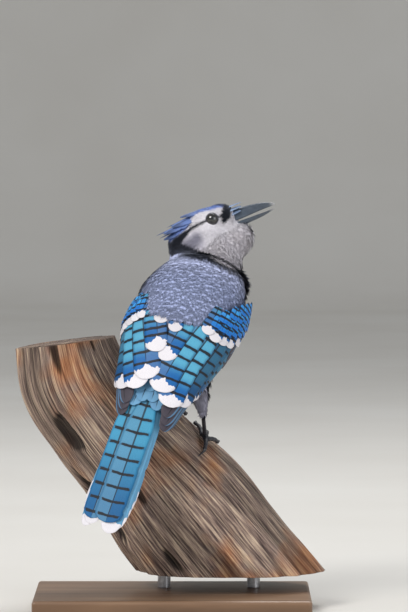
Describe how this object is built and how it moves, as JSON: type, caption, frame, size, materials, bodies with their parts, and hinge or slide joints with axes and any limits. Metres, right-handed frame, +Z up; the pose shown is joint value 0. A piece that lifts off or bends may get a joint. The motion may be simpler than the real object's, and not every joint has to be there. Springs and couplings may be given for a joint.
{
  "type": "blue jay display model",
  "caption": "Life-size blue jay looking up over its shoulder, gripping a short cut length of driftwood held on two rods over a flat base.",
  "frame": {"origin": "middle of the whole model's footprint, at the underside of the stand's base", "axes": "+Z up; the bird is seen from behind looking along +Y; +X to its right, the way the bill points"},
  "size_m": [0.2144, 0.1732, 0.2795],
  "materials": {
    "bill_horn": "satin horn",
    "eye": "wet gloss",
    "leg_scales": "satin scales",
    "head_feathers": "soft feathers, blue, white and black",
    "mantle_feathers": "soft grey-violet feathers",
    "driftwood": "weathered, unfinished",
    "tail_feathers": "blue vanes with black bars",
    "pale_feathers": "soft pale down",
    "wing_feathers": "blue vanes with black bars and white tips",
    "stand_board": "satin board",
    "stand_rod": "brushed"
  },
  "bodies": {
    "root": {"bill_lower": "bill_horn", "bill_upper": "bill_horn", "eye_left": "eye", "eye_right": "eye", "foot_left": "leg_scales", "foot_right": "leg_scales", "head": "head_feathers", "neck": "mantle_feathers", "perch": "driftwood", "stand_base": "stand_board", "stand_rod_1": "stand_rod", "stand_rod_2": "stand_rod", "tail": "tail_feathers", "thigh_left": "pale_feathers", "thigh_right": "pale_feathers", "torso": "mantle_feathers", "wing_left": "wing_feathers", "wing_right": "wing_feathers"}
  },
  "joints": []
}
